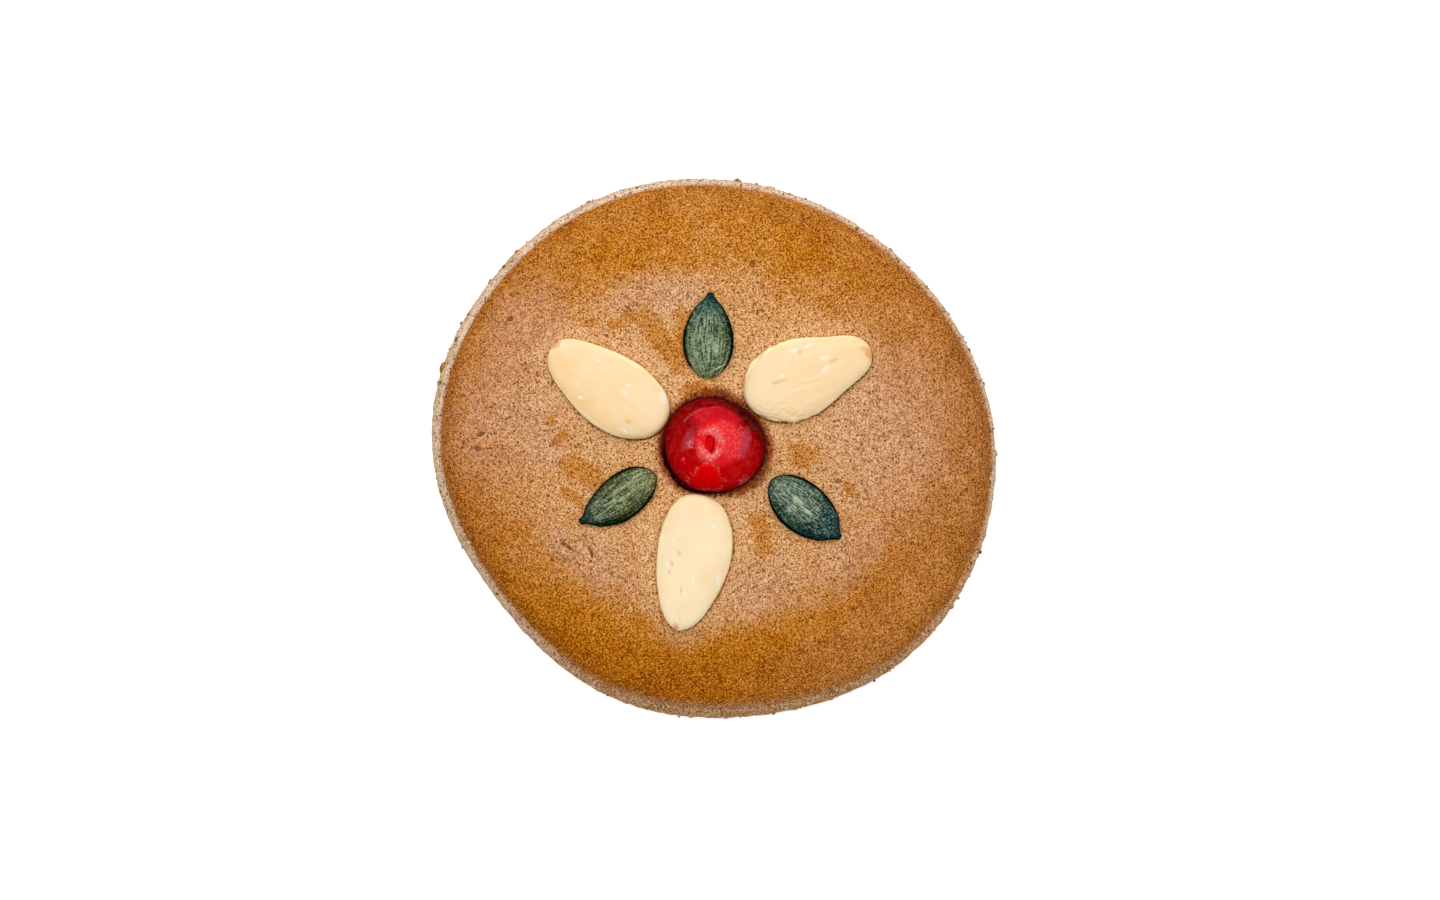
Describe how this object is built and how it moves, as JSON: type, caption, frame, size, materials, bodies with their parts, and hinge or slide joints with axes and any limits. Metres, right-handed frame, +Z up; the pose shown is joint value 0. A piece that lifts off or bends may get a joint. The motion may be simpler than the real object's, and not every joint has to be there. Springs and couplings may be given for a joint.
{
  "type": "lebkuchen",
  "caption": "Round domed spice biscuit with a glazed brown top, a pale crumbly side and a flat base, decorated with almond halves, pumpkin seeds and half a candied cherry, to eat.",
  "frame": {"origin": "middle of the biscuit's bounding box on its flat base", "axes": "+Z up from the base through the decorated top, +X along the longest way across, +Y to its left seen from above, towards the seed that lies above the cherry in the picture"},
  "size_m": [0.0926, 0.0886, 0.0185],
  "materials": {
    "crust": "baked brown crust under a thin satin glaze, stands in for baked dough",
    "almond": "smooth cream, stands in for a blanched almond half",
    "pumpkin_seed": "dusty dark green, stands in for a hulled pumpkin seed",
    "candied_cherry": "glossy translucent red, stands in for candied cherry"
  },
  "bodies": {
    "root": {"biscuit": "crust", "almond_1": "almond", "almond_2": "almond", "almond_3": "almond", "pumpkin_seed_1": "pumpkin_seed", "pumpkin_seed_2": "pumpkin_seed", "pumpkin_seed_3": "pumpkin_seed", "cherry": "candied_cherry"}
  },
  "joints": []
}
